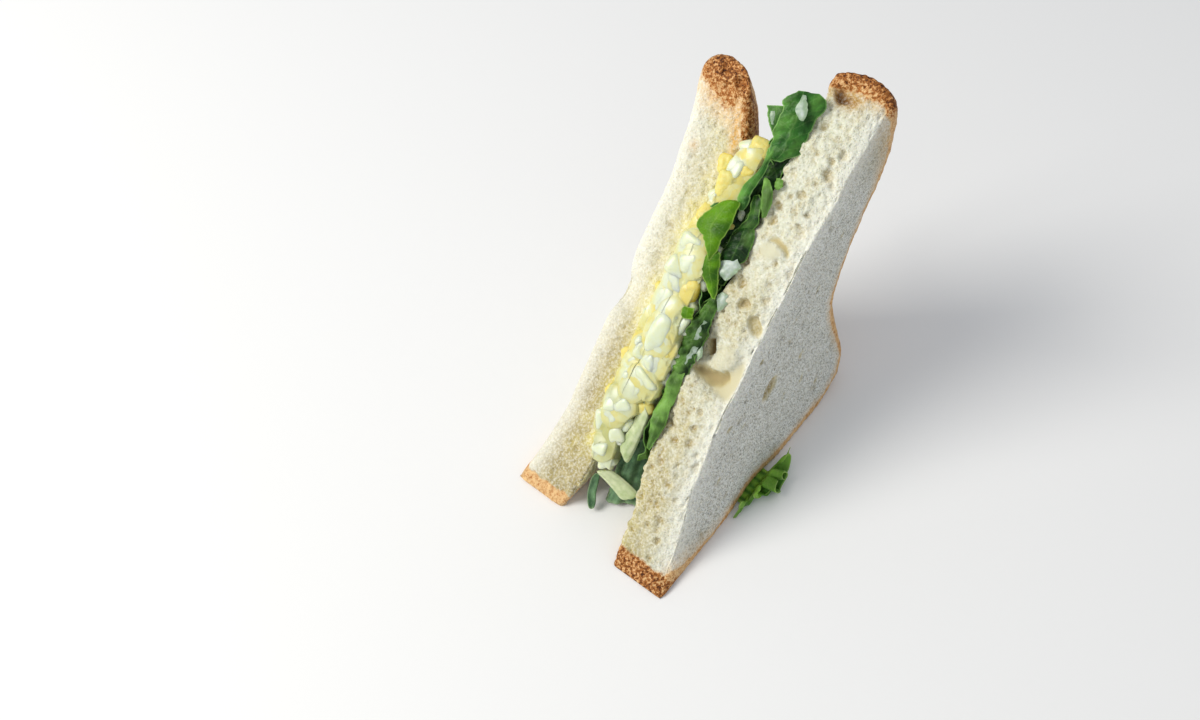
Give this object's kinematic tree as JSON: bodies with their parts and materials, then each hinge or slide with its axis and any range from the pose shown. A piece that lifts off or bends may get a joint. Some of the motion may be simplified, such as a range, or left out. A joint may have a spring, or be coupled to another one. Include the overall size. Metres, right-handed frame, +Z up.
{
  "type": "egg salad sandwich",
  "caption": "Triangular half of an egg salad sandwich on thick white bread, standing on its crust, with chopped egg salad and lettuce leaves showing in the open cut; a ready to eat food.",
  "frame": {"origin": "middle of the half's bounding box, on the surface that it stands on", "axes": "+Z up, +Y through the layers from the front slice to the back slice, +X along the standing crust towards the square corner, so the open cut faces -X and up"},
  "size_m": [0.1208, 0.0751, 0.1269],
  "materials": {
    "bread_front": "soft white bread crumb with a thin browned crust",
    "bread_back": "soft white bread crumb with a thin browned crust",
    "egg_salad": "moist chopped egg white and yolk in pale dressing",
    "lettuce_leaf_long": "dark green leaf with a soft shine",
    "lettuce_leaf_upper": "mid green leaf with a soft shine",
    "leaf_lobe": "bright yellow-green leaf with a soft shine",
    "lettuce_leaf_lower": "blue-green leaf with a soft shine",
    "lettuce_frill": "bright green curly leaf with a soft shine",
    "stalk_piece_a": "pale moist leaf rib",
    "stalk_piece_b": "pale moist leaf rib"
  },
  "bodies": {
    "root": {"bread_front": "bread_front", "bread_back": "bread_back", "egg_salad": "egg_salad", "lettuce_leaf_long": "lettuce_leaf_long", "lettuce_leaf_upper": "lettuce_leaf_upper", "leaf_lobe": "leaf_lobe", "lettuce_leaf_lower": "lettuce_leaf_lower", "lettuce_frill": "lettuce_frill", "stalk_piece_a": "stalk_piece_a", "stalk_piece_b": "stalk_piece_b"}
  },
  "joints": []
}
